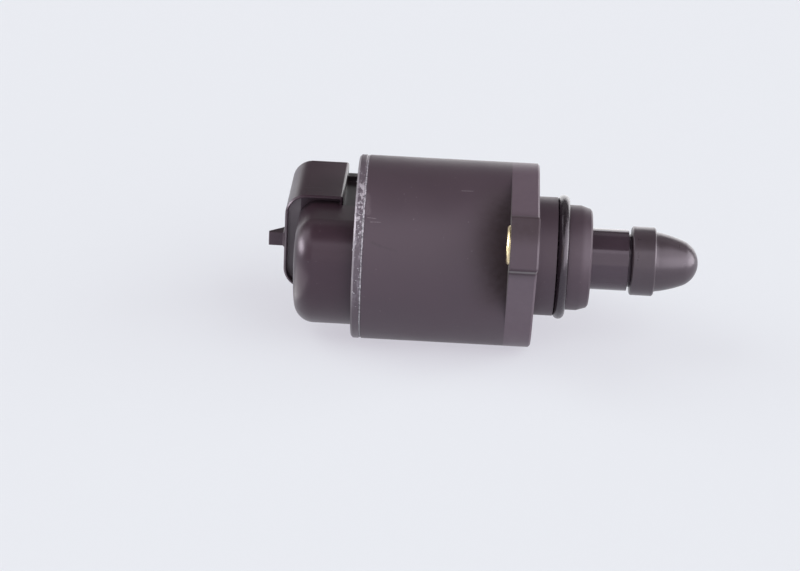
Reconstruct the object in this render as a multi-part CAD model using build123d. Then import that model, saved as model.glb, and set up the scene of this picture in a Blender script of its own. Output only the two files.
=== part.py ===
from build123d import *
from math import asin, cos, degrees, radians, sin
import os

# Idle air control valve: a claw-pole stepper motor turns a threaded hub, which slides the pintle.
# X is the valve axis, towards the pintle nose, and X = 0 is the flange's mounting face.
# The valve lies on its round body and on one corner of the far flange ear, with Z up.

# Housing: round motor body, bearing boss and front wall
body_dia = 35.0
body_wall = 2.1
body_length = 32.35
front_wall = 3.5
boss_wall = 3.2
stator_seat = 9.4
spigot_length = 3.6
edge_break = 0.35
weld_groove = 0.3

# Flange with two ears, each with a pressed-in compression bush
flange_thickness = 5.2
bolt_circle_dia = 50.0
ear_wall = 1.4
ear_root_inset = 0.8
ear_root_round = 2.0
ear_tip_round = 0.7
mount_bush_dia = 7.2
mount_bush_bore = 5.5
mount_bush_stand = 0.6
mount_bush_chamfer = 0.3

# Pilot with its seal groove
neck_dia = 22.6
neck_length = 3.9
groove_dia = 19.16
groove_width = 2.3
land_dia = 20.0
land_length = 2.2
lead_in_length = 2.15
pilot_tip_dia = 18.6
pilot_tip_chamfer = 0.35
seal_section = 2.2

# Pintle at its rest position, and its travel from there
stem_dia = 11.65
stem_front = 18.3
stem_rear = 3.0
stem_relief_dia = 7.2
stem_socket_length = 6.5
key_width = 3.0
key_dia = 14.0
key_length = 3.5
undercut_dia = 10.1
undercut_width = 0.6
collar_dia = 13.1
collar_length = 4.5
collar_chamfer = 0.25
nose_base_dia = 11.4
nose_length = 8.3
nose_base_slope = 8.0
nose_tip_radius = 4.6
extend_travel = 1.3

# Lead screw and rotor
screw_dia = 5.0
screw_rear = 26.0
screw_in_nose = 4.0
hub_dia = 10.0
front_journal_dia = 8.0
rear_journal_dia = 7.2
rear_journal_length = 5.0
magnet_dia = 14.6
magnet_inset = 0.4
hub_rear_inset = 0.8
front_bush_dia = 13.0
rear_bush_dia = 10.0
thrust_washer_dia = 12.6
thrust_washer_thickness = 0.5

# Claw-pole stator: two coil stacks and the pole plates between them
pole_sheet = 1.0
claw_count = 6
claw_bore_dia = 15.2
claw_thickness = 0.9
claw_root_width = 3.0
claw_tip_width = 1.6
claw_tip_gap = 0.8
bobbin_wall = 0.8
winding_inset = 0.6

# Rear cap: welded rim, spigot, round elbow block and connector hood
cap_rim_thickness = 1.7
cap_rim_chamfer = 0.4
spigot_wall = 3.0
cap_floor = 0.8
cap_boss_wall = 1.5
block_dia = 30.0
block_length = 11.15
block_rear_round = 3.8
block_crown_round = 7.0
block_wall = 2.4
hood_neck_setback = 2.0
hood_neck_cover = 0.6
hood_neck_web = 2.0
connector_clocking = 23.5
hood_gap = 2.8
hood_depth = 10.95
hood_width = 18.9
hood_corner = 4.0
hood_front_corner = 0.5
hood_wall = 1.3
hood_step = 1.5
hood_start = 0.5
hood_mouth = 22.0
hood_edge_chamfer = 0.3
skirt_wall = 0.5
skirt_depth = 2.0
socket_floor = 9.5
screw_pocket_dia = 7.0

# Latch nib on the hood's rear wall
nib_width = 2.6
nib_height = 3.05
nib_start = 1.0
nib_land = 0.8
nib_ramp = 3.6
nib_round = 0.25
nib_foot_round = 0.5

# Terminals
terminal_count = 4
terminal_pitch = 3.6
terminal_width = 1.6
terminal_thickness = 0.8
terminal_reach = 5.0
terminal_inset = 1.5
terminal_tail = 1.4

# Clearances
running_gap = 0.05
guide_gap = 0.08
key_gap = 0.1
bond_gap = 0.02
assembly_gap = 0.05
end_play = 0.1
stop_gap = 0.3

# How near an edge or corner lies to the place that picks it
match_tolerance = 0.01

# Derived places along the axis and radii
body_radius = body_dia / 2
bore_radius = body_radius - body_wall
boss_radius = front_bush_dia / 2 + boss_wall
guide_radius = stem_dia / 2 + guide_gap
groove_rear = neck_length
groove_front = groove_rear + groove_width
land_front = groove_front + land_length
pilot_front = land_front + lead_in_length
retract_travel = stem_front - pilot_front - stop_gap
bush_front = stem_rear - retract_travel - stop_gap
key_slot_front = stem_rear + key_length + extend_travel + stop_gap
head_rear = stem_front
nose_rear = head_rear + collar_length
nose_front = nose_rear + nose_length
screw_front = nose_rear + screw_in_nose

stack_length = (body_length - stator_seat - spigot_length) / 2
centre_plate_front = -stator_seat - stack_length + pole_sheet
centre_plate_rear = centre_plate_front - 2 * pole_sheet
stator_rear = spigot_length - body_length
claw_radius = claw_bore_dia / 2
stator_radius = bore_radius - assembly_gap
hub_shoulder_front = -stator_seat - thrust_washer_thickness - end_play
hub_shoulder_rear = stator_rear + hub_rear_inset
rear_bush_front = hub_shoulder_rear - thrust_washer_thickness - end_play
hub_rear = rear_bush_front - rear_journal_length
rear_bush_rear = hub_rear - end_play

rim_front = -body_length
rim_rear = rim_front - cap_rim_thickness
cap_inner = rim_front - cap_floor
spigot_radius = bore_radius - assembly_gap
spigot_bore = spigot_radius - spigot_wall
cap_boss_radius = rear_bush_dia / 2 + cap_boss_wall
block_rear = rim_rear - block_length
hood_front = rim_rear - hood_gap
hood_rear = hood_front - hood_depth
hood_middle = (hood_front + hood_rear) / 2
block_flat = hood_width / 2 - hood_step
terminal_reach_across = ((terminal_count - 1) * terminal_pitch + terminal_width) / 2
hood_neck_half = terminal_reach_across + hood_neck_cover
screw_pocket_rear = -screw_rear - retract_travel - stop_gap

ear_half = mount_bush_dia / 2 + ear_wall
ear_tip_radius = bolt_circle_dia / 2 + ear_half
ear_root = bolt_circle_dia / 2 - ear_root_inset

# The ear's lower corner and the round body touch the bench together
ear_round_reach = ear_tip_radius - ear_tip_round
lay_down = asin((body_radius - ear_tip_round) / ear_round_reach)
lay_corner = asin((ear_half - ear_tip_round) / ear_round_reach)
lay_angle = degrees(lay_corner - lay_down)


def turned(*points):
    return revolve(make_face(Polyline(*points, close=True)), Axis.X)


def ring(rear, front, outer, inner):
    return turned((rear, inner), (front, inner), (front, outer), (rear, outer))


def rod(rear, front, radius):
    return ring(rear, front, radius, 0)


def rim_edges(shape, place):
    return [edge for edge in shape.edges() if abs(edge.center().X - place) < match_tolerance]


def ear_places():
    return Pos(0, bolt_circle_dia / 2, 0), Pos(0, -bolt_circle_dia / 2, 0)


# Flange outline in the plane of the mounting face, its ears along the first axis
def flange_outline():
    flanks = make_hull(Circle(body_radius).edges() + Rectangle(2 * ear_root, 2 * ear_half).edges())
    ears = Rectangle(2 * ear_tip_radius, 2 * ear_half) & Circle(ear_tip_radius)
    outline = flanks + ears
    roots = [v for v in outline.vertices() if abs(abs(v.X) - ear_root) < match_tolerance]
    outline = fillet(roots, ear_root_round)
    tips = [v for v in outline.vertices() if abs(v.X) > ear_tip_radius - ear_half]
    return fillet(tips, ear_tip_round)


def flange():
    plate = extrude(Plane.YZ * flange_outline(), -flange_thickness)
    return chamfer(plate.edges().group_by(Axis.X)[-1], edge_break)


def pilot():
    form = turned(
        (-front_wall, 0),
        (-front_wall, neck_dia / 2),
        (groove_rear, neck_dia / 2),
        (groove_rear, groove_dia / 2),
        (groove_front, groove_dia / 2),
        (groove_front, land_dia / 2),
        (land_front, land_dia / 2),
        (pilot_front, pilot_tip_dia / 2),
        (pilot_front, 0),
    )
    return chamfer(rim_edges(form, pilot_front), pilot_tip_chamfer)


# Motor bore, bearing boss with its pocket, and the guide bore through the pilot
def housing_hollow():
    bore = turned(
        (-body_length, 0),
        (-body_length, bore_radius),
        (-front_wall, bore_radius),
        (-front_wall, boss_radius),
        (-stator_seat, boss_radius),
        (-stator_seat, front_bush_dia / 2 + bond_gap),
        (bush_front, front_bush_dia / 2 + bond_gap),
        (bush_front, guide_radius),
        (pilot_front, guide_radius),
        (pilot_front, 0),
    )
    slot_length = stator_seat + key_slot_front
    slot_box = Box(slot_length, key_width + 2 * key_gap, key_dia + 2 * key_gap)
    return bore + Pos(key_slot_front - slot_length / 2, 0, 0) * slot_box


def housing():
    body = rod(-body_length, -edge_break, body_radius)
    body = chamfer(rim_edges(body, -body_length), weld_groove)
    form = body + flange() + pilot()
    form -= housing_hollow()
    for place in ear_places():
        form -= place * rod(-flange_thickness, 0, mount_bush_dia / 2 + bond_gap)
    return form


def mount_bush():
    rear = -flange_thickness - mount_bush_stand
    form = ring(rear, 0, mount_bush_dia / 2, mount_bush_bore / 2)
    return chamfer(rim_edges(form, rear), mount_bush_chamfer)


def pilot_o_ring():
    middle = (groove_rear + groove_front) / 2
    seat = groove_dia / 2 + bond_gap
    return revolve(Pos(middle, seat + seal_section / 2) * Circle(seal_section / 2), Axis.X)


# Sliding stem with two keys that stop it turning, a socket for the screw and an undercut at the head
def pintle_stem():
    socket_rear = stem_front - stem_socket_length
    form = turned(
        (stem_rear, stem_relief_dia / 2),
        (stem_rear, stem_dia / 2),
        (stem_front - undercut_width, stem_dia / 2),
        (stem_front - undercut_width, undercut_dia / 2),
        (stem_front, undercut_dia / 2),
        (stem_front, screw_dia / 2 + bond_gap),
        (socket_rear, screw_dia / 2 + bond_gap),
        (socket_rear, stem_relief_dia / 2),
    )
    keys = Pos(stem_rear + key_length / 2, 0, 0) * Box(key_length, key_width, key_dia)
    keys = keys & ring(stem_rear, stem_rear + key_length, key_dia / 2, stem_relief_dia / 2)
    return form + keys


# Ogive from the nose's base to its tip: a long arc that leaves the base at a slope, then a tip arc
def nose_curve():
    base = nose_base_dia / 2
    slope = radians(nose_base_slope)
    reach = nose_length - nose_tip_radius
    spare = base * cos(slope) - nose_tip_radius - reach * sin(slope)
    long_radius = (base**2 + reach**2 - nose_tip_radius**2) / (2 * spare)
    share = nose_tip_radius / (long_radius - nose_tip_radius)
    join_along = nose_rear + reach + share * (reach + long_radius * sin(slope))
    join_radius = share * (long_radius * cos(slope) - base)
    flank = TangentArc((nose_rear, base), (join_along, join_radius), tangent=(cos(slope), -sin(slope)))
    return flank + TangentArc((join_along, join_radius), (nose_front, 0), tangent=flank % 1)


# Collar and rounded nose, turned as one piece over the end of the screw
def pintle_head():
    collar = rod(head_rear, nose_rear, collar_dia / 2)
    collar = chamfer(collar.edges().filter_by(GeomType.CIRCLE), collar_chamfer)
    base = Polyline((nose_rear, nose_base_dia / 2), (nose_rear, 0), (nose_front, 0))
    nose = revolve(make_face(nose_curve() + base), Axis.X)
    return collar + nose - rod(head_rear, screw_front + bond_gap, screw_dia / 2 + bond_gap)


def lead_screw():
    return rod(-screw_rear, screw_front, screw_dia / 2)


def rotor_hub():
    return turned(
        (hub_rear, screw_dia / 2 + running_gap),
        (hub_rear, rear_journal_dia / 2),
        (hub_shoulder_rear, rear_journal_dia / 2),
        (hub_shoulder_rear, hub_dia / 2),
        (hub_shoulder_front, hub_dia / 2),
        (hub_shoulder_front, front_journal_dia / 2),
        (bush_front, front_journal_dia / 2),
        (bush_front, screw_dia / 2 + running_gap),
    )


def rotor_magnet():
    rear = hub_shoulder_rear + magnet_inset
    front = hub_shoulder_front - magnet_inset
    return ring(rear, front, magnet_dia / 2, hub_dia / 2 + bond_gap)


def front_bush():
    bore = front_journal_dia / 2 + running_gap
    return ring(-stator_seat, bush_front, front_bush_dia / 2, bore)


def rear_bush():
    bore = rear_journal_dia / 2 + running_gap
    return ring(rear_bush_rear, rear_bush_front, rear_bush_dia / 2, bore)


def thrust_washer(front, bore_dia):
    rear = front - thrust_washer_thickness
    return ring(rear, front, thrust_washer_dia / 2, bore_dia / 2 + running_gap)


# Tapered claws in a circle, from a root face towards a tip face
def claws(root, tip, turn):
    outline = Polyline(
        (root, -claw_root_width / 2),
        (root, claw_root_width / 2),
        (tip, claw_tip_width / 2),
        (tip, -claw_tip_width / 2),
        close=True,
    )
    blade = extrude(make_face(outline), claw_radius + 2 * claw_thickness)
    wall = ring(min(root, tip), max(root, tip), claw_radius + claw_thickness, claw_radius)
    circle = [Rot(X=turn + 360 / claw_count * step) * blade for step in range(claw_count)]
    return [part & wall for part in circle]


# Outer pole cup of one stack: end disc, rolled wall and claws
def pole_cup(disc_face, wall_end):
    inward = 1 if wall_end > disc_face else -1
    disc_inner = disc_face + inward * pole_sheet
    faces = sorted((disc_face, disc_inner))
    walls = sorted((disc_face, wall_end))
    cup = ring(*walls, stator_radius, stator_radius - pole_sheet)
    cup += ring(*faces, stator_radius, claw_radius)
    cup += claws(disc_face, wall_end - inward * claw_tip_gap, 0)
    return cup


# Inner pole plates, back to back, with claws towards both cups
def centre_pole_plate():
    half_turn = 180 / claw_count
    plate = ring(centre_plate_rear, centre_plate_front, stator_radius, claw_radius)
    front_tip = -stator_seat - pole_sheet - claw_tip_gap
    rear_tip = stator_rear + pole_sheet + claw_tip_gap
    plate += claws(centre_plate_rear, front_tip, half_turn)
    plate += claws(centre_plate_front, rear_tip, half_turn)
    return plate


# Bobbin seated between a cup's disc and the centre plate, round the claws
def bobbin(rear, front):
    inner = claw_radius + claw_thickness + assembly_gap
    outer = stator_radius - pole_sheet - assembly_gap
    return turned(
        (rear, inner),
        (rear, outer),
        (rear + bobbin_wall, outer),
        (rear + bobbin_wall, inner + bobbin_wall),
        (front - bobbin_wall, inner + bobbin_wall),
        (front - bobbin_wall, outer),
        (front, outer),
        (front, inner),
    )


# Copper coil in a bobbin's channel
def winding(rear, front):
    inner = claw_radius + claw_thickness + assembly_gap + bobbin_wall + bond_gap
    outer = stator_radius - pole_sheet - assembly_gap - winding_inset
    return ring(rear + bobbin_wall, front - bobbin_wall, outer, inner)


# The cap is built with its connector along Y and is turned to its clocking afterwards

# Circle cut straight at its right and its top, in the plane across the valve axis
def cut_circle(radius, right, top):
    room = Pos(right - radius, top - radius) * Rectangle(2 * radius, 2 * radius)
    return Circle(radius) & room


# Round block behind the rim, blended to a flat crown beside the hood
def elbow_block():
    side = cut_circle(block_dia / 2, hood_start, block_flat)
    crown = side.vertices().group_by(Axis.Y)[-1].sort_by(Axis.X)[0]
    side = fillet(crown, block_crown_round)
    block = extrude(Plane.YZ.offset(block_rear) * side, block_length)
    outer = hood_start - match_tolerance
    rear = [edge for edge in rim_edges(block, block_rear) if edge.center().Y < outer]
    return fillet(rear, block_rear_round)


# Neck over the terminals from the hood's front wall to the rim, with a higher web at its far end
def hood_neck():
    rear = hood_front - hood_wall
    near = hood_start - hood_wall
    far = hood_mouth - hood_neck_setback
    depth = rim_rear - rear
    neck = Box(depth, far - near, 2 * hood_neck_half)
    web = Box(depth, hood_neck_web, 2 * block_flat)
    middle = (rear + rim_rear) / 2
    return Pos(middle, (near + far) / 2, 0) * neck + Pos(middle, far - hood_neck_web / 2, 0) * web


def core_pocket():
    outline = cut_circle(spigot_bore, -cap_boss_radius / 2, block_flat - block_wall)
    outline -= Circle(cap_boss_radius)
    return extrude(Plane.YZ.offset(cap_inner) * outline, block_rear + block_wall - cap_inner)


# Hood section: round corners at the rear, nearly square ones towards the rim
def hood_outline(inset):
    outline = Rectangle(hood_depth - 2 * inset, hood_width - 2 * inset)
    outline = fillet(outline.vertices().group_by(Axis.X)[0], hood_corner - inset)
    return fillet(outline.vertices().group_by(Axis.X)[-1], hood_front_corner)


def hood_plane(height):
    return Plane((hood_middle, height, 0), x_dir=(1, 0, 0), z_dir=(0, 1, 0))


def hood():
    tube = extrude(hood_plane(hood_start) * hood_outline(0), hood_mouth - hood_start)
    return chamfer(tube.edges().group_by(Axis.Y)[0], hood_edge_chamfer)


def hood_socket():
    return extrude(hood_plane(socket_floor) * hood_outline(hood_wall), hood_mouth - socket_floor)


def latch_nib():
    foot = hood_rear + hood_wall / 2
    top = hood_rear - nib_height
    start = hood_start + nib_start
    outline = FilletPolyline(
        (foot, start),
        (top, start),
        (top, start + nib_land),
        (foot, start + nib_land + nib_ramp),
        radius=[0, nib_round, nib_round, 0],
        close=True,
    )
    return extrude(make_face(outline), nib_width / 2, both=True)


# Groove between the hood's skirt and the block's crown and rear, open towards the block
def skirt_groove():
    block_side = Pos(block_rear - hood_middle, -block_flat) * Rectangle(
        2 * hood_depth, 2 * hood_width, align=(Align.MIN, Align.MIN)
    )
    corner = block_side.vertices().group_by(Axis.X)[0].sort_by(Axis.Y)[0]
    groove = hood_outline(skirt_wall) - fillet(corner, block_rear_round)
    return extrude(hood_plane(hood_start) * groove, skirt_depth)


def hood_with_nib():
    form = hood() + latch_nib()
    reach = nib_width / 2 + match_tolerance
    foot = [edge for edge in rim_edges(form, hood_rear) if abs(edge.center().Z) < reach]
    form = fillet([edge for edge in foot if edge.length < hood_width / 2], nib_foot_round)
    return form - skirt_groove()


def rear_cap():
    rim = rod(rim_rear, rim_front, body_radius)
    rim = chamfer(rim_edges(rim, rim_rear), cap_rim_chamfer)
    rim = chamfer(rim_edges(rim, rim_front), weld_groove)
    form = rim + ring(cap_inner, stator_rear, spigot_radius, spigot_bore)
    form += [hood_neck(), elbow_block(), hood_with_nib()]
    form -= ring(cap_inner, stator_rear, spigot_bore, cap_boss_radius)
    form += ring(cap_inner, rear_bush_front, cap_boss_radius, rear_bush_dia / 2)
    form -= core_pocket()
    form -= hood_socket()
    form -= rod(rear_bush_rear, rear_bush_front, rear_bush_dia / 2 + bond_gap)
    form -= rod(screw_pocket_rear, rear_bush_rear, screw_pocket_dia / 2)
    for blade in terminals():
        form -= blade
    return form


# Blades in the socket, each bent below the floor to a tail that runs into the motor
def terminals():
    bend = socket_floor - terminal_inset - terminal_thickness
    tip = socket_floor + terminal_reach
    tail = stator_rear - terminal_tail
    blade_rear = hood_middle - terminal_thickness / 2
    outline = make_face(Polyline(
        (blade_rear, bend),
        (tail, bend),
        (tail, bend + terminal_thickness),
        (blade_rear + terminal_thickness, bend + terminal_thickness),
        (blade_rear + terminal_thickness, tip),
        (blade_rear, tip),
        close=True,
    ))
    blade = extrude(outline, terminal_width / 2, both=True)
    row = range(terminal_count)
    middle = (terminal_count - 1) / 2
    return [Pos(0, 0, (place - middle) * terminal_pitch) * blade for place in row]


def valve_parts():
    on_bench = Rot(X=lay_angle)
    clocked = Rot(X=lay_angle + connector_clocking)
    far_place, near_place = ear_places()
    parts = {
        "housing": on_bench * housing(),
        "mount_bush_far": on_bench * far_place * mount_bush(),
        "mount_bush_near": on_bench * near_place * mount_bush(),
        "pilot_o_ring": pilot_o_ring(),
        "pintle_stem": on_bench * pintle_stem(),
        "pintle_head": pintle_head(),
        "lead_screw": lead_screw(),
        "rotor_hub": rotor_hub(),
        "rotor_magnet": rotor_magnet(),
        "front_bush": front_bush(),
        "rear_bush": rear_bush(),
        "front_thrust_washer": thrust_washer(-stator_seat - end_play / 2, front_journal_dia),
        "rear_thrust_washer": thrust_washer(hub_shoulder_rear - end_play / 2, rear_journal_dia),
        "front_pole_cup": pole_cup(-stator_seat, centre_plate_front),
        "rear_pole_cup": pole_cup(stator_rear, centre_plate_rear),
        "centre_pole_plate": centre_pole_plate(),
        "rear_cap": clocked * rear_cap(),
    }
    stacks = {
        "front": (centre_plate_front, -stator_seat - pole_sheet),
        "rear": (stator_rear + pole_sheet, centre_plate_rear),
    }
    for stack, faces in stacks.items():
        parts[f"{stack}_bobbin"] = bobbin(*faces)
        parts[f"{stack}_winding"] = winding(*faces)
    for number, blade in enumerate(terminals(), start=1):
        parts[f"terminal_{number}"] = clocked * blade
    return parts


os.makedirs("parts", exist_ok=True)
for name, shape in valve_parts().items():
    export_step(shape, f"parts/{name}.step")
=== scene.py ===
import bpy
import math
import random
from mathutils import Matrix, Vector, noise


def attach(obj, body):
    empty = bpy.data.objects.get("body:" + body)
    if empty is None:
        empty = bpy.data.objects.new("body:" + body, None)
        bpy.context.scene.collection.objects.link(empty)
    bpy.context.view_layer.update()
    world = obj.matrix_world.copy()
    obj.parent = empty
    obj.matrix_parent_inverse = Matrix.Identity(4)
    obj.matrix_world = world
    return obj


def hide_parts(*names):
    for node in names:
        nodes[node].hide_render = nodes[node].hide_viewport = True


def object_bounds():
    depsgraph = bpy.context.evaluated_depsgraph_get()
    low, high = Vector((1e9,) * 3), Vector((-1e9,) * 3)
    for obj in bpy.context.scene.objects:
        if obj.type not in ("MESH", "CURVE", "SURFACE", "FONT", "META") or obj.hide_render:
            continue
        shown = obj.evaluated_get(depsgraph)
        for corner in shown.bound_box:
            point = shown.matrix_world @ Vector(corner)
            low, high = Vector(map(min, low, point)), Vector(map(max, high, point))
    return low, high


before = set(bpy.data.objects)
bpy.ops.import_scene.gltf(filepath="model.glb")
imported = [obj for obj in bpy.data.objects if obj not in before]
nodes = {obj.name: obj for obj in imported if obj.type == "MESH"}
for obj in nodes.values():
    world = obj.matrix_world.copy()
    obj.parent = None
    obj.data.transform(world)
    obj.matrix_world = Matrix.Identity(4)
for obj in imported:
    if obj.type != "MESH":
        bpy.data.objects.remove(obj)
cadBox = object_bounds()
print("frame loaded:", len(nodes), "nodes")


# one shader socket, with arithmetic that adds Math nodes
class Wire:
    def __init__(self, sheet, socket):
        self.sheet = sheet
        self.socket = socket

    def math(self, operation, *values):
        return self.sheet.node("Math", {"operation": operation}, dict(enumerate(values)))

    def __add__(self, other):
        return self.math("ADD", self, other)

    def __sub__(self, other):
        return self.math("SUBTRACT", self, other)

    def __rsub__(self, other):
        return self.math("SUBTRACT", other, self)

    def __mul__(self, other):
        return self.math("MULTIPLY", self, other)

    def __neg__(self):
        return self.math("MULTIPLY", self, -1)

    def __abs__(self):
        return self.math("ABSOLUTE", self)

    __radd__ = __add__

    def most(self, other):
        return self.math("MAXIMUM", self, other)

    # 0 below the first level, 1 above the second, smooth between them
    def step(self, low, high):
        settings = {"interpolation_type": "SMOOTHSTEP"}
        return self.sheet.node("MapRange", settings, {"Value": self, "From Min": low, "From Max": high})

    # 1 between the two levels, fading out over the soft width at each end
    def band(self, low, high, soft):
        return self.step(low - soft, low) * (1 - self.step(high, high + soft))


# a node tree, with one method that adds any node: settings first, then socket values or links
class Sheet:
    def __init__(self, tree):
        self.tree = tree
        tree.nodes.clear()

    def node(self, kind, settings=None, sockets=None, out=0):
        made = self.tree.nodes.new("ShaderNode" + kind)
        for name, value in (settings or {}).items():
            setattr(made, name, value)
        for name, value in (sockets or {}).items():
            if isinstance(value, Wire):
                self.tree.links.new(value.socket, made.inputs[name])
            else:
                made.inputs[name].default_value = value
        return Wire(self, made.outputs[out]) if made.outputs else None

    def vector(self, operation, *values, out=0):
        return self.node("VectorMath", {"operation": operation}, dict(enumerate(values)), out)

    def blend(self, share, first, second):
        return self.node("Mix", {"data_type": "RGBA"}, {0: share, 6: first, 7: second}, 2)

    # the piece's own coordinates in millimetres
    def millimetres(self):
        place = self.node("TexCoord", {}, {}, "Object")
        return self.node("VectorMath", {"operation": "SCALE"}, {0: place, "Scale": 1000})

    def along(self, place, axis):
        return self.node("SeparateXYZ", {}, {0: place}, axis)

    def stretched(self, place, *factors):
        return self.vector("MULTIPLY", place, factors)

    # distance from the valve axis
    def radius(self, place):
        return self.vector("LENGTH", self.stretched(place, 0, 1, 1), out="Value")

    def noise(self, place, scale, detail=2.0, rough=0.5):
        values = {"Vector": place, "Scale": scale, "Detail": detail, "Roughness": rough}
        return self.node("TexNoise", {}, values, "Fac")

    def bump(self, height, depth):
        return self.node("Bump", {}, {"Height": height, "Strength": 1.0, "Distance": depth})

    # 1 on a straight mark between two points, 0 beyond its half width
    def mark(self, place, start, end, half):
        line = Vector(end) - Vector(start)
        offset = self.vector("SUBTRACT", place, start)
        share = self.vector("DOT_PRODUCT", offset, tuple(line / line.length_squared), out="Value")
        share = share.math("MINIMUM", share, 1).most(0)
        foot = self.node("VectorMath", {"operation": "SCALE"}, {0: tuple(line), "Scale": share})
        away = self.vector("LENGTH", self.vector("SUBTRACT", offset, foot), out="Value")
        return 1 - away.step(half * 0.4, half)


def srgb(red, green, blue):
    def linear(level):
        level = level / 255
        return level / 12.92 if level <= 0.04045 else ((level + 0.055) / 1.055) ** 2.4
    return (linear(red), linear(green), linear(blue), 1.0)


# material from a paint function, which gives the sockets that vary, and the fixed socket values
def finish(name, paint, look):
    material = bpy.data.materials.new(name)
    material.use_nodes = True
    sheet = Sheet(material.node_tree)
    surface = sheet.node("BsdfPrincipled", {}, {**look["fixed"], **paint(sheet, look)})
    sheet.node("OutputMaterial", {}, {"Surface": surface})
    return material


def dress(material, *names):
    for name in names:
        nodes[name].material_slots[0].material = material


edgeSet = {
    "merge": 1e-6,
    "flatAngle": math.radians(0.3),
    "sharpAngle": math.radians(32),
}


# small bevels on the sharp edges, after the CAD facets are joined
def softenEdges(piece, width, segments=3):
    piece.data.shade_smooth()
    weld = piece.modifiers.new("weld", "WELD")
    weld.merge_threshold = edgeSet["merge"]
    flat = piece.modifiers.new("flat", "DECIMATE")
    flat.decimate_type = "DISSOLVE"
    flat.angle_limit = edgeSet["flatAngle"]
    bevel = piece.modifiers.new("bevel", "BEVEL")
    bevel.width = width
    bevel.segments = segments
    bevel.limit_method = "ANGLE"
    bevel.angle_limit = edgeSet["sharpAngle"]
    normals = piece.modifiers.new("normals", "WEIGHTED_NORMAL")
    normals.keep_sharp = True


# ends of a CAD node along the valve axis, and its smallest and largest radius
def span(name):
    places = [corner.co for corner in nodes[name].data.vertices]
    along = [place.x for place in places]
    radii = [math.hypot(place.y, place.z) for place in places]
    return min(along), max(along), min(radii), max(radii)


def ringPoint(along, angle, radius):
    return (along, radius * math.cos(angle), radius * math.sin(angle))


# skin over rows of points round the valve axis, each point given by its place along it and its radius
def wrapped(rows, closed=False, capped=False):
    around = len(rows[0])
    turn = 2 * math.pi / around
    corners = []
    for row in rows:
        corners += [ringPoint(along, turn * step, radius) for step, (along, radius) in enumerate(row)]
    faces = []
    for row in range(len(rows) if closed else len(rows) - 1):
        here, ahead = row * around, (row + 1) % len(rows) * around
        for step in range(around):
            after = (step + 1) % around
            faces.append((here + step, here + after, ahead + after, ahead + step))
    if capped:
        last = len(corners) - around
        faces += [tuple(range(around - 1, -1, -1)), tuple(range(last, len(corners)))]
    return corners, faces


def addPiece(name, corners, faces, material, body, slot):
    mesh = bpy.data.meshes.new(name)
    mesh.from_pydata(corners, [], faces)
    mesh.validate()
    mesh.shade_smooth()
    mesh.materials.append(material)
    piece = bpy.data.objects.new(name, mesh)
    bpy.context.scene.collection.objects.link(piece)
    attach(piece, body)
    return piece


# moulded plastic: cloudy flow, fine grain, a little dust and a few rubbed and stained marks; the broad pale
# mark on the cap's hood rim is a painted highlight

violet = (0.97, 0.86, 1.0, 1.0)

housingLook = {
    "dark": srgb(57, 44, 52),
    "light": srgb(63, 48, 57),
    "dust": srgb(120, 112, 118),
    "rubbed": srgb(122, 112, 118),
    "stained": srgb(40, 32, 36),
    "rough": 0.5,
    "grain": 7.0,
    "depth": 4e-6,
    "scratch": 0.16,
    "scratchDepth": 4.0,
    "marks": [
        ("rubbed", (-14.44, -8.0, 15.56), (-12.4, -7.96, 15.58), 0.11, 0.8),
        ("rubbed", (-31.59, -13.31, 11.37), (-30.01, -13.39, 11.27), 0.1, 0.6),
        ("rubbed", (-30.99, -13.83, 10.72), (-29.05, -13.79, 10.77), 0.1, 0.6),
        ("rubbed", (-31.9, -9.9, 14.4), (-31.6, -12.6, 12.1), 0.8, 0.22),
        ("stained", (-30.49, -15.81, 7.51), (-28.98, -16.06, 6.96), 0.35, 0.5),
        ("stained", (-28.98, -16.06, 6.96), (-25.99, -16.35, 6.25), 0.3, 0.35),
        ("rubbed", (-21.0, 9.2, 14.9), (-16.5, 9.6, 14.6), 0.1, 0.5),
        ("rubbed", (-26.0, 15.2, -8.7), (-24.0, 15.4, -8.3), 0.12, 0.5),
    ],
    "earAim": (0, -0.895, 0.446),
    "earUp": (0, 0.446, 0.895),
    "flange": (-5.2, -5.1),
    "patches": 0.8,
    "patchWeight": (0.7, 0.5),
    # painted shade: the ear's shadow on the body behind it and the darker upper half of the ear tips,
    # darkened in the base colour and made rougher
    "paintedShade": srgb(36, 20, 20),
    "paintedShadeAlong": (-14, -5.6),
    "paintedShadeOut": (11.5, 17),
    "paintedShadeRough": 0.4,
    "tipOut": (28.8, 29.3),
    "tipUp": (-1.5, 2.5),
    "tipWeight": 0.7,
    "sideOut": (23.4, 24),
    "sideUp": (4.4, 4.8),
    "sideRough": 0.45,
    # painted light: the flange's flat flanks drawn paler, standing in for the light they reflect
    "paintedFlankLight": srgb(92, 75, 87),
    "flankOut": (22, 24.5),
    "flankRadius": (16.9, 17.3),
    "flankWeight": 0.7,
    "bevel": 2e-4,
    "fixed": {
        "Specular IOR Level": 0.8,
        "Specular Tint": violet,
        "Sheen Weight": 0.14,
        "Sheen Roughness": 0.25,
    },
}

flowLook = {
    "cloud": 0.14,
    "cloudRough": 0.14,
    "dust": 2.4,
    "dustLevels": (0.76, 0.82),
    "dustWeight": 0.5,
    "worn": 5.0,
    "wornLevels": (0.25, 0.6),
}


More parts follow.
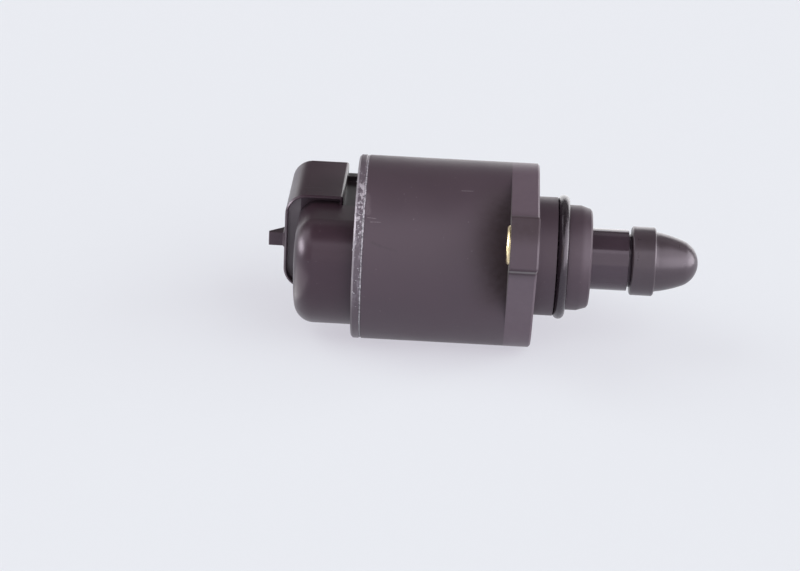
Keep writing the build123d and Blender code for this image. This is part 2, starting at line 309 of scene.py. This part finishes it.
def mouldedPlastic(sheet, look):
    place = sheet.millimetres()
    cloud = sheet.noise(place, flowLook["cloud"], 3.0)
    grain = sheet.noise(place, look["grain"], 3.0, 0.6)
    dust = sheet.noise(place, flowLook["dust"], 1.0).step(*flowLook["dustLevels"]) * flowLook["dustWeight"]
    color = sheet.blend(cloud, look["dark"], look["light"])
    color = sheet.blend(dust, color, look["dust"])
    height = grain
    for kind, start, end, half, weight in look["marks"]:
        patchy = sheet.noise(place, flowLook["worn"]).step(*flowLook["wornLevels"])
        worn = sheet.mark(place, start, end, half) * patchy * weight
        color = sheet.blend(worn, color, look[kind])
        if half < look["scratch"]:
            height = height - worn * look["scratchDepth"]
    return {
        "Base Color": color,
        "Roughness": look["rough"] + (cloud - 0.5) * flowLook["cloudRough"],
        "Normal": sheet.bump(height, look["depth"]),
    }


capLook = {
    "dark": srgb(51, 35, 44),
    "light": srgb(56, 39, 48),
    "dust": srgb(112, 104, 110),
    "rubbed": srgb(112, 104, 110),
    "stained": srgb(34, 25, 29),
    "rough": 0.32,
    "grain": 8.0,
    "depth": 3e-6,
    "scratch": 0.16,
    "scratchDepth": 8.0,
    "marks": [
        ("stained", (-44.85, 5.91, 9.15), (-41.22, 6.16, 9.14), 0.15, 1.0),
        ("stained", (-44.71, 3.88, 9.26), (-41.09, 4.13, 9.24), 0.15, 1.0),
        ("stained", (-37.1, -13.95, 5.5), (-36.51, -14.17, 4.92), 0.22, 0.7),
        ("rubbed", (-42.6, -13.2, -6.6), (-40.9, -13.4, -6.3), 0.1, 0.35),
        # painted highlight: a broad pale stroke down the hood's left rim, not wear
        ("rubbed", (-47.5, 0.8, -6.0), (-47.5, 0.8, 5.5), 0.7, 0.3),
    ],
    "rim": (-34.2, -33.9),
    "rimRadius": (16.9, 17.2),
    "whitened": srgb(150, 142, 154),
    "whitenedSide": (0, -0.79, 0.61),
    "whitenedReach": (7, 17),
    "whitenedWeight": (0.14, 0.1, 0.36),
    "chipNoise": (1.3, 3.0, 0.6),
    "chipLevels": (0.5, 0.64),
    "chipStretch": (1, 0.5, 0.5),
    "flash": srgb(196, 188, 198),
    "flashStretch": (1, 0.6, 0.6),
    "flashNoise": (1.3, 3.0, 0.6),
    "flashLevels": (0.53, 0.58),
    "flashAlong": (-34.3, -33.8),
    "flashSide": (0, -0.68, 0.73),
    "flashReach": (15.6, 17.2),
    "flashWeight": 0.6,
    "wornEdge": (-33.95, -33.7, 0.08),
    "wornWeight": 0.35,
    # painted shade: the deep gap between the hood and the rim darkened in the base colour
    "paintedShade": srgb(20, 13, 14),
    "gapAlong": (-36.9, -34.3, 0.15),
    "gapDepth": (-0.4, 0.8),
    "gapWeight": 0.9,
    "hoodAim": (0, 0.9986, -0.0532),
    "hoodUp": (0, 0.0532, 0.9986),
    "hoodCorner": (-43.8, 5.45),
    # painted light: the floor of the groove behind the hood's left skirt is drawn in the paler dust colour,
    # standing in for light reaching it
    "grooveDepth": (2.3, 2.6, 0.1),
    "grooveAlong": (-47.4, -45.0, 0.1),
    "grooveInset": (3.5, 3.6),
    "bevel": 2e-4,
    "fixed": {"Specular IOR Level": 0.55, "Specular Tint": violet},
}


# the housing's moulded plastic, with painted shade behind the ears and on the upper half of the ear tips,
# and painted light on the flange's flanks
def flangeWithPaintedShadeAndLight(sheet, look):
    sockets = mouldedPlastic(sheet, look)
    place = sheet.millimetres()
    along = sheet.along(place, "X")
    flange = along.step(*look["flange"])
    out = abs(sheet.vector("DOT_PRODUCT", place, look["earAim"], out="Value"))
    up = sheet.vector("DOT_PRODUCT", place, look["earUp"], out="Value")
    least, more = look["patchWeight"]
    patchy = least + sheet.noise(place, look["patches"]) * more
    # painted shade on the body behind each ear, and on the upper half of each ear tip
    behind = out.step(*look["paintedShadeOut"]) * along.step(*look["paintedShadeAlong"]) * (1 - flange)
    tip = out.step(*look["tipOut"]) * up.step(*look["tipUp"]) * look["tipWeight"]
    paintedShade = behind.most(tip) * patchy
    sides = out.step(*look["sideOut"]) * abs(up).step(*look["sideUp"])
    # painted light on the flat flanks of the flange
    flank = (1 - out.step(*look["flankOut"])) * sheet.radius(place).step(*look["flankRadius"])
    paintedFlankLight = flank * flange * patchy * look["flankWeight"]
    color = sheet.blend(paintedShade, sockets["Base Color"], look["paintedShade"])
    sockets["Base Color"] = sheet.blend(paintedFlankLight, color, look["paintedFlankLight"])
    matte = (sides * look["sideRough"]).most(paintedShade * look["paintedShadeRough"])
    sockets["Roughness"] = sockets["Roughness"] + matte
    return sockets


# the cap's moulded plastic: whitened and chipped by the weld along its rim, with a worn rear edge,
# painted light (a paler floor in the dust colour) in the groove behind the hood's skirt and painted shade in
# the gap before the hood
def weldedRim(sheet, look):
    sockets = mouldedPlastic(sheet, look)
    place = sheet.millimetres()
    along = sheet.along(place, "X")
    depth = sheet.vector("DOT_PRODUCT", place, look["hoodAim"], out="Value")
    height = sheet.vector("DOT_PRODUCT", place, look["hoodUp"], out="Value")
    outside = sheet.radius(place).step(*look["rimRadius"])
    rim = along.step(*look["rim"]) * outside
    side = sheet.vector("DOT_PRODUCT", place, look["whitenedSide"], out="Value").step(*look["whitenedReach"])
    chips = sheet.noise(sheet.stretched(place, *look["chipStretch"]), *look["chipNoise"])
    everywhere, facing, chipped = look["whitenedWeight"]
    white = rim * (everywhere + side * (facing + chips.step(*look["chipLevels"]) * chipped))
    color = sheet.blend(white, sockets["Base Color"], look["whitened"])
    flash = sheet.noise(sheet.stretched(place, *look["flashStretch"]), *look["flashNoise"])
    flash = flash.step(*look["flashLevels"]) * along.step(*look["flashAlong"])
    reach = sheet.vector("DOT_PRODUCT", place, look["flashSide"], out="Value").step(*look["flashReach"])
    worn = along.band(*look["wornEdge"]) * side * outside * look["wornWeight"]
    color = sheet.blend((flash * reach * rim * look["flashWeight"]).most(worn), color, look["flash"])
    back = (look["hoodCorner"][0] - along).most(0)
    aside = (abs(height) - look["hoodCorner"][1]).most(0)
    inset = back.math("SQRT", back * back + aside * aside)
    # painted light: the groove's floor at the hood's left blended towards the dust colour
    groove = depth.band(*look["grooveDepth"]) * along.band(*look["grooveAlong"])
    color = sheet.blend(groove * (1 - inset.step(*look["grooveInset"])), color, look["dust"])
    # painted shade in the gap before the hood
    gap = along.band(*look["gapAlong"]) * depth.step(*look["gapDepth"]) * look["gapWeight"]
    sockets["Base Color"] = sheet.blend(gap, color, look["paintedShade"])
    return sockets


housingPlastic = finish("housingPlastic", flangeWithPaintedShadeAndLight, housingLook)
capPlastic = finish("capPlastic", weldedRim, capLook)
dress(housingPlastic, "housing")
dress(capPlastic, "rear_cap")
softenEdges(nodes["housing"], housingLook["bevel"])
softenEdges(nodes["rear_cap"], capLook["bevel"])
print("mouldings dressed")


# weld between the two mouldings: a ragged bead of flash in the seam, and flakes of it on the cap's rim

weldLook = {
    "dark": srgb(88, 80, 90),
    "light": srgb(196, 189, 200),
    "steps": 900,
    "groove": 3e-4,
    "thin": 1.3e-4,
    "thick": 2.6e-4,
    "crest": 1.5e-4,
    "sink": 2e-5,
    "facing": math.radians(140),
    "coarseScale": 14,
    "fineScale": 90,
    "leanScale": 60,
    "flakes": 120,
    "flakeSeed": 7,
    "flakeSpread": math.radians(24),
    "flakeSize": (6e-5, 2.6e-4),
    "flakeCorners": (5, 8),
    "flakeRise": (2e-5, 7e-5),
    "flakeSink": 1e-5,
    "strayEvery": 6,
    "rimWidth": 1.7e-3,
    "fixed": {"Roughness": 0.42, "Specular IOR Level": 0.6},
}


def weldPlastic(sheet, look):
    place = sheet.millimetres()
    cloud = sheet.noise(place, 2.2, 4.0, 0.7).step(0.3, 0.7)
    return {
        "Base Color": sheet.blend(cloud, look["dark"], look["light"]),
        "Normal": sheet.bump(sheet.noise(place, 12.0, 2.0), 8e-6),
    }


# radius held inside the body's height at an angle
def heldRadius(radius, angle, body):
    return min(radius, body / max(abs(math.sin(angle)), 0.1))


def weldBead(seam, body):
    rows = [[], [], [], [], []]
    for step in range(weldLook["steps"]):
        angle = 2 * math.pi * step / weldLook["steps"]
        spot = Vector((math.cos(angle), math.sin(angle), 0))
        facing = max(0, math.cos(angle - weldLook["facing"])) ** 2
        coarse = noise.noise(spot * weldLook["coarseScale"])
        fine = noise.noise(spot * weldLook["fineScale"])
        spread = (weldLook["thick"] - weldLook["thin"]) * facing * (0.6 + 0.8 * coarse)
        half = (weldLook["thin"] + spread) * (1 + 0.3 * fine)
        foot = body - max(0, weldLook["groove"] - half) - weldLook["sink"]
        rise = weldLook["crest"] * (0.35 + facing * (0.6 + 0.7 * fine + 0.4 * coarse))
        lean = half * 0.5 * noise.noise(spot * weldLook["leanScale"] + Vector((0, 0, 3)))
        profile = (-half, 0), (lean - half / 2, 0.75), (lean, 1), (lean + half / 2, 0.7), (half, 0)
        for row, (along, share) in zip(rows, profile):
            row.append((seam + along, heldRadius(foot + rise * share, angle, body)))
    return wrapped(rows, closed=True)


def weldFlakes(seam, body):
    chance = random.Random(weldLook["flakeSeed"])
    corners, faces = [], []
    for number in range(weldLook["flakes"]):
        angle = chance.gauss(weldLook["facing"], weldLook["flakeSpread"])
        if number % weldLook["strayEvery"] == 0:
            angle = chance.uniform(0, 2 * math.pi)
        along = seam - weldLook["rimWidth"] * chance.betavariate(0.7, 0.9)
        length = chance.uniform(*weldLook["flakeSize"])
        width = chance.uniform(*weldLook["flakeSize"])
        count = chance.randint(*weldLook["flakeCorners"])
        first = len(corners)
        top = heldRadius(body + chance.uniform(*weldLook["flakeRise"]), angle, body)
        corners.append(ringPoint(along, angle, top))
        for edge in range(count):
            turn = 2 * math.pi * edge / count
            reach = chance.uniform(0.5, 1.0)
            aside = width * reach * math.sin(turn) / body
            ahead = length * reach * math.cos(turn)
            corners.append(ringPoint(along + ahead, angle + aside, body - weldLook["flakeSink"]))
        faces += [(first, first + 1 + (edge + 1) % count, first + 1 + edge) for edge in range(count)]
        faces.append(tuple(range(first + 1, first + 1 + count)))
    return corners, faces


weldWhite = finish("weldWhite", weldPlastic, weldLook)
seamPlace = span("housing")[0]
bodyRadius = -cadBox[0].z
addPiece("weld_bead", *weldBead(seamPlace, bodyRadius), weldWhite, "valve_body", "cap_plastic")
addPiece("weld_flakes", *weldFlakes(seamPlace, bodyRadius), weldWhite, "valve_body", "cap_plastic")
print("weld added")


# sliding stem and head: polished and turned plastic, with rings round the valve axis

stemLook = {
    "dark": srgb(53, 41, 49),
    "light": srgb(58, 45, 54),
    "rough": 0.14,
    "ringScale": 3.0,
    "depth": 1.5e-6,
    "bevel": 1e-4,
    "fixed": {"Specular IOR Level": 0.8, "Specular Tint": violet},
}

headLook = {
    "dark": srgb(55, 46, 51),
    "light": srgb(63, 53, 59),
    "rough": 0.3,
    "ringScale": 1.0,
    "depth": 2.4e-5,
    "bevel": 1e-4,
    "fixed": {"Specular IOR Level": 0.8, "Specular Tint": violet},
}


def turnedPlastic(sheet, look):
    place = sheet.millimetres()
    rings = sheet.noise(sheet.stretched(place, 1, 0.02, 0.02), look["ringScale"], 4.0, 0.65)
    smear = sheet.noise(place, 0.6, 3.0)
    return {
        "Base Color": sheet.blend(smear, look["dark"], look["light"]),
        "Roughness": look["rough"] + (smear - 0.5) * 0.1 + (rings - 0.5) * 0.1,
        "Normal": sheet.bump(rings, look["depth"]),
    }


stemPlastic = finish("stemPlastic", turnedPlastic, stemLook)
headPlastic = finish("headPlastic", turnedPlastic, headLook)
dress(stemPlastic, "pintle_stem")
dress(headPlastic, "pintle_head")
softenEdges(nodes["pintle_stem"], stemLook["bevel"])
softenEdges(nodes["pintle_head"], headLook["bevel"])
print("pintle dressed")


# rubber seal

sealLook = {
    "dark": srgb(23, 17, 21),
    "light": srgb(33, 25, 30),
    "rough": 0.25,
    "fixed": {"Specular IOR Level": 0.8, "Specular Tint": violet},
}


def sealRubber(sheet, look):
    place = sheet.millimetres()
    bloom = sheet.noise(place, 1.2, 3.0)
    pores = sheet.noise(place, 12.0, 2.0)
    return {
        "Base Color": sheet.blend(bloom, look["dark"], look["light"]),
        "Roughness": look["rough"] + (bloom - 0.5) * 0.2,
        "Normal": sheet.bump(pores, 2e-6),
    }


dress(finish("sealRubber", sealRubber, sealLook), "pilot_o_ring")
nodes["pilot_o_ring"].data.shade_smooth()


# metals: turned, sintered, stamped and plated

brassLook = {
    "dark": srgb(236, 212, 160),
    "light": srgb(250, 236, 200),
    "rough": 0.28,
    "stretch": (1, 1, 1),
    "scale": 0.8,
    "fineScale": 14.0,
    "depth": 3e-6,
    "fixed": {"Metallic": 1.0},
}
bronzeLook = {
    "dark": srgb(128, 92, 52),
    "light": srgb(176, 132, 80),
    "rough": 0.42,
    "stretch": (1, 1, 1),
    "scale": 2.5,
    "fineScale": 9.0,
    "depth": 8e-6,
    "fixed": {"Metallic": 1.0},
}
poleLook = {
    "dark": srgb(168, 170, 174),
    "light": srgb(206, 207, 208),
    "rough": 0.36,
    "stretch": (1, 1, 1),
    "scale": 0.5,
    "fineScale": 6.0,
    "depth": 3e-6,
    "fixed": {"Metallic": 1.0},
}
steelLook = {
    "dark": srgb(176, 177, 180),
    "light": srgb(206, 206, 207),
    "rough": 0.28,
    "stretch": (1, 0.05, 0.05),
    "scale": 2.0,
    "fineScale": 16.0,
    "depth": 2e-6,
    "fixed": {"Metallic": 1.0},
}
tinLook = {
    "dark": srgb(186, 185, 180),
    "light": srgb(222, 221, 216),
    "rough": 0.3,
    "stretch": (1, 1, 0.2),
    "scale": 1.2,
    "fineScale": 10.0,
    "depth": 2e-6,
    "fixed": {"Metallic": 1.0},
}


def bareMetal(sheet, look):
    place = sheet.stretched(sheet.millimetres(), *look["stretch"])
    tarnish = sheet.noise(place, look["scale"], 4.0)
    fine = sheet.noise(place, look["fineScale"], 3.0)
    return {
        "Base Color": sheet.blend(tarnish, look["dark"], look["light"]),
        "Roughness": look["rough"] + (tarnish - 0.5) * 0.16,
        "Normal": sheet.bump(fine, look["depth"]),
    }


metalBevel = {"width": 1e-4, "segments": 2}
mountBushes = ["mount_bush_far", "mount_bush_near"]
terminals = [f"terminal_{number}" for number in range(1, 5)]

screwSteel = finish("screwSteel", bareMetal, steelLook)
dress(finish("turnedBrass", bareMetal, brassLook), *mountBushes)
dress(finish("sinteredBronze", bareMetal, bronzeLook), "front_bush", "rear_bush")
dress(finish("platedPole", bareMetal, poleLook), "front_pole_cup", "rear_pole_cup", "centre_pole_plate")
dress(screwSteel, "front_thrust_washer", "rear_thrust_washer", "lead_screw")
dress(finish("tinnedBlade", bareMetal, tinLook), *terminals)
for name in mountBushes + terminals:
    softenEdges(nodes[name], **metalBevel)
print("metals dressed")


# motor pieces inside the housing

hubLook = {
    "dark": srgb(214, 208, 190),
    "light": srgb(228, 224, 208),
    "dust": srgb(200, 194, 178),
    "rough": 0.45,
    "grain": 6.0,
    "depth": 3e-6,
    "marks": [],
    "fixed": {},
}
bobbinLook = {
    "dark": srgb(40, 40, 42),
    "light": srgb(52, 52, 55),
    "dust": srgb(80, 80, 82),
    "rough": 0.5,
    "grain": 6.0,
    "depth": 3e-6,
    "marks": [],
    "fixed": {},
}
ferriteLook = {
    "dark": srgb(62, 62, 66),
    "light": srgb(84, 84, 88),
    "dust": srgb(110, 110, 112),
    "rough": 0.4,
    "grain": 10.0,
    "depth": 5e-6,
    "marks": [],
    "fixed": {},
}
copperLook = {
    "dark": srgb(150, 78, 40),
    "light": srgb(206, 118, 66),
    "rough": 0.3,
    "stretch": (1, 0.1, 0.1),
    "scale": 1.5,
    "fineScale": 8.0,
    "depth": 2e-6,
    "fixed": {"Metallic": 1.0, "Coat Weight": 0.5},
}

copperWire = finish("copperWire", bareMetal, copperLook)
dress(finish("hubPlastic", mouldedPlastic, hubLook), "rotor_hub")
dress(finish("bobbinPlastic", mouldedPlastic, bobbinLook), "front_bobbin", "rear_bobbin")
dress(finish("ferrite", mouldedPlastic, ferriteLook), "rotor_magnet")
dress(copperWire, "front_winding", "rear_winding")
print("motor pieces dressed")


# rolled thread of the lead screw

threadLook = {
    "lead": 1e-3,
    "depth": 3.5e-4,
    "front": 0.011,
    "perTurn": 10,
    "around": 32,
    "tip": 5e-4,
    "root": 1.8,
    "slope": 5,
}


# share of the full depth at a share of the pitch: flat crest, sloped flanks and flat root
def threadDepth(share):
    return max(0, min(1, threadLook["root"] - threadLook["slope"] * abs(share % 1 - 0.5)))


def screwThread(rear, front, radius):
    count = round((front - rear) / threadLook["lead"] * threadLook["perTurn"])
    rows = []
    for number in range(count + 1):
        along = rear + (front - rear) * number / count
        fade = max(0, min(1, (threadLook["front"] - along) / threadLook["lead"]))
        tip = max(0, threadLook["tip"] - (along - rear))
        row = []
        for step in range(threadLook["around"]):
            share = along / threadLook["lead"] - step / threadLook["around"]
            cut = threadLook["depth"] * fade * threadDepth(share)
            row.append((along, radius - max(cut, tip)))
        rows.append(row)
    return wrapped(rows, capped=True)


rear, front, _, outer = span("lead_screw")
screw = addPiece("screw_thread", *screwThread(rear, front, outer), screwSteel, "pintle", "screw_steel")
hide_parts("lead_screw")


# turns of enamelled wire on the bobbins

wireLook = {
    "pitch": 2.8e-4,
    "perTurn": 6,
    "around": 96,
}


def wireTurns(rear, front, inner, outer):
    turns = int((front - rear) / wireLook["pitch"])
    count = turns * wireLook["perTurn"]
    half = (front - rear) / turns / 2
    rows = []
    for number in range(count + 1):
        along = rear + (front - rear) * number / count
        row = []
        for step in range(wireLook["around"]):
            share = (number / wireLook["perTurn"] - step / wireLook["around"]) % 1
            row.append((along, outer - half + half * math.sqrt(1 - (2 * share - 1) ** 2)))
        rows.append(row)
    for along in (front, rear):
        rows.append([(along, inner)] * wireLook["around"])
    return wrapped(rows, closed=True)


for stack in ("front", "rear"):
    winding = f"{stack}_winding"
    skin = wireTurns(*span(winding))
    coil = addPiece(f"{stack}_turns", *skin, copperWire, "valve_body", "winding_copper")
    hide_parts(winding)
print("thread and windings added")


# bench, lit screens, gloss cards and camera

stageLook = {
    "paper": srgb(228, 241, 238),
    "glowPaper": srgb(236, 232, 243),
    "size": 8.0,
    "glow": 0.65,
}
benchTop = cadBox[0].z


# share of the rays that look at the bench or the room: straight, in a mirror or through glass
def lookingRays(sheet):
    kinds = ("Is Camera Ray", "Is Glossy Ray", "Is Transmission Ray")
    camera, glossy, clear = [sheet.node("LightPath", {}, {}, kind) for kind in kinds]
    return camera.most(glossy).most(clear)


def makeFloor():
    half = stageLook["size"] / 2
    mesh = bpy.data.meshes.new("bench")
    sides = (-half, -half), (half, -half), (half, half), (-half, half)
    corners = [(across, ahead, benchTop) for across, ahead in sides]
    mesh.from_pydata(corners, [], [(0, 1, 2, 3)])
    bench = bpy.data.objects.new("bench", mesh)
    bpy.context.scene.collection.objects.link(bench)
    material = bpy.data.materials.new("benchPaper")
    material.use_nodes = True
    sheet = Sheet(material.node_tree)
    paper = sheet.node("BsdfDiffuse", {}, {"Color": stageLook["paper"]})
    white = sheet.node("Emission", {}, {"Color": stageLook["glowPaper"], "Strength": 1.0})
    share = lookingRays(sheet) * stageLook["glow"]
    surface = sheet.node("MixShader", {}, {0: share, 1: paper, 2: white})
    sheet.node("OutputMaterial", {}, {"Surface": surface})
    mesh.materials.append(material)


# lit screens round the valve, in degrees: the turn is from the camera's side towards the nose, the lift
# is above the bench, and each screen fades out over its two soft widths; a later one covers the earlier ones
roomLevel = 0.13
screens = {
    "frontLeft": {"turn": (-62, -8), "lift": (-4, 57), "level": 0.56, "soft": (10, 1.5)},
    "frontRight": {"turn": (-2, 46), "lift": (-4, 57), "level": 1.16, "soft": (10, 1.5)},
    "frontTop": {"turn": (-62, 46), "lift": (46, 57), "level": 1.55, "soft": (10, 1.5)},
    "noseTop": {"turn": (34, 90), "lift": (34, 62), "level": 2.0, "soft": (8, 4)},
    "hoodTop": {"turn": (-120, -70), "lift": (30, 62), "level": 2.1, "soft": (8, 6)},
    "noseSide": {"turn": (28, 115), "lift": (-4, 34), "level": 3.2, "soft": (10, 6)},
    "hoodSide": {"turn": (-112, -74), "lift": (-4, 24), "level": 2.4, "soft": (8, 6)},
    "hoodBack": {"turn": (-158, -120), "lift": (-4, 12), "level": 1.2, "soft": (8, 4)},
    "back": {"turn": (125, 180), "lift": (40, 56), "level": 0.35, "soft": (15, 3)},
    "backLeft": {"turn": (-180, -125), "lift": (40, 56), "level": 0.35, "soft": (15, 3)},
}


def makeWorld():
    world = bpy.data.worlds.new("studio")
    bpy.context.scene.world = world
    world.use_nodes = True
    sheet = Sheet(world.node_tree)
    aim = sheet.node("TexCoord", {}, {}, "Generated")
    behind = sheet.along(aim, "Y")
    turn = behind.math("ARCTAN2", sheet.along(aim, "X"), -behind) * math.degrees(1)
    lift = behind.math("ARCSINE", sheet.along(aim, "Z")) * math.degrees(1)
    level = roomLevel
    for screen in screens.values():
        softTurn, softLift = screen["soft"]
        mask = turn.band(*screen["turn"], softTurn) * lift.band(*screen["lift"], softLift)
        level = level + mask * (screen["level"] - level)
    sky = sheet.node("Background", {}, {"Color": (1, 1, 1, 1), "Strength": level})
    drop = sheet.node("Background", {}, {"Color": stageLook["glowPaper"], "Strength": 1.0})
    seen = sheet.node("LightPath", {}, {}, "Is Camera Ray")
    both = sheet.node("MixShader", {}, {0: seen, 1: sky, 2: drop})
    sheet.node("OutputWorld", {}, {"Surface": both})


# pale cards that only the gloss shows: for the grazing top edges, the cap's corner above and below,
# and the nose
cards = {
    "topCard": {"corner": (-0.034, 0.1, benchTop), "wide": (0.15, 0, 0), "tall": (0, 0, 0.0675), "level": 2},
    "capCard": {"corner": (-0.158, -0.065, 0.019), "wide": (0, 0.08, 0), "tall": (0, 0, 0.044), "level": 13},
    "noseCard": {"corner": (0.15, -0.04, -0.01), "wide": (0, 0.09, 0), "tall": (0, 0, 0.055), "level": 5.2},
    "floorCard": {
        "corner": (-0.105, -0.045, benchTop + 2e-4),
        "wide": (0.05, 0, 0),
        "tall": (0, 0.05, 0),
        "level": 2.1,
    },
}


def makeCard(name, look):
    corner, wide, tall = [Vector(look[key]) for key in ("corner", "wide", "tall")]
    mesh = bpy.data.meshes.new(name)
    mesh.from_pydata([corner, corner + wide, corner + wide + tall, corner + tall], [], [(0, 1, 2, 3)])
    card = bpy.data.objects.new(name, mesh)
    bpy.context.scene.collection.objects.link(card)
    material = bpy.data.materials.new(name)
    material.use_nodes = True
    sheet = Sheet(material.node_tree)
    glow = sheet.node("Emission", {}, {"Color": (1, 1, 1, 1), "Strength": look["level"]})
    sheet.node("OutputMaterial", {}, {"Surface": glow})
    mesh.materials.append(material)
    card.visible_camera = False
    card.visible_diffuse = False
    card.visible_shadow = False


cameraSet = {
    "azimuth": -1.218,
    "elevation": 23.570,
    "roll": 2.617,
    "aim": (-0.0252366, -0.0032969, -0.0063254),
    "distance": 0.520,
    "lens": 122.82,
    "sensor": 36,
    "near": 0.01,
}


def makeCamera():
    turn = math.radians(cameraSet["azimuth"])
    tilt = math.radians(cameraSet["elevation"])
    roll = math.radians(cameraSet["roll"])
    ahead = Vector((math.sin(turn) * math.cos(tilt), math.cos(turn) * math.cos(tilt), -math.sin(tilt)))
    right = ahead.cross(Vector((0, 0, 1))).normalized()
    up = right.cross(ahead)
    axes = Matrix((
        right * math.cos(roll) + up * math.sin(roll),
        up * math.cos(roll) - right * math.sin(roll),
        -ahead,
    )).transposed()
    data = bpy.data.cameras.new("camera")
    data.lens = cameraSet["lens"]
    data.sensor_width = cameraSet["sensor"]
    data.clip_start = cameraSet["near"]
    camera = bpy.data.objects.new("camera", data)
    place = Vector(cameraSet["aim"]) - ahead * cameraSet["distance"]
    camera.matrix_world = Matrix.Translation(place) @ axes.to_4x4()
    bpy.context.scene.collection.objects.link(camera)
    bpy.context.scene.camera = camera


makeFloor()
makeWorld()
for name, look in cards.items():
    makeCard(name, look)
makeCamera()
bpy.context.scene.view_settings.view_transform = "Standard"
print("stage set")
